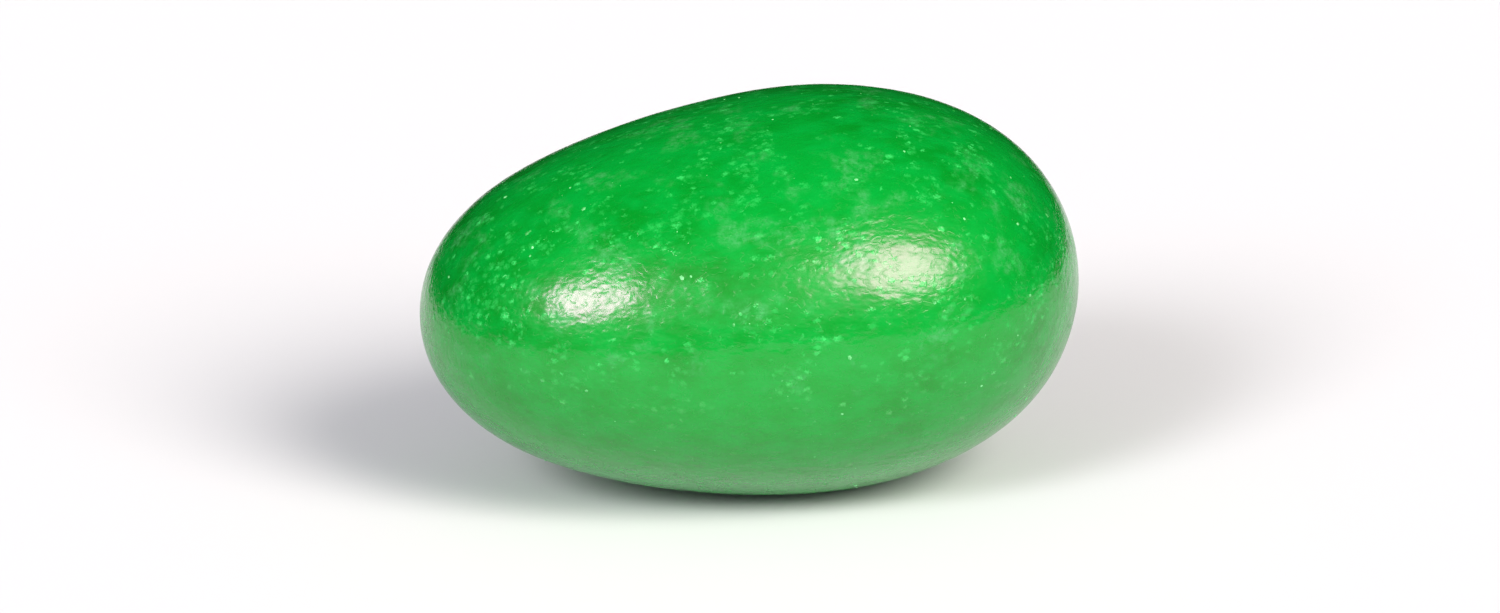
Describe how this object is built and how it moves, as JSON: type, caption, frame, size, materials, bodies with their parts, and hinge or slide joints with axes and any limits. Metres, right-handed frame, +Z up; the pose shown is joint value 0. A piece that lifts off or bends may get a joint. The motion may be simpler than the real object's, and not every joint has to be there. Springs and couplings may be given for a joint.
{
  "type": "sugared almond",
  "caption": "Egg-shaped panned sweet with a smooth, glossy green sugar coat, lying on its flatter side.",
  "frame": {"origin": "centre of the bounding box's base, on the surface the sweet lies on", "axes": "+X along the length towards the blunt end, +Y across the width, +Z up through the thickness"},
  "size_m": [0.029, 0.0206, 0.0174],
  "materials": {
    "sugar_coat": "hard panned sugar shell, polished to a soft gloss, green with paler mottling and tiny white sugar specks"
  },
  "bodies": {
    "root": {"sugared_almond": "sugar_coat"}
  },
  "joints": []
}
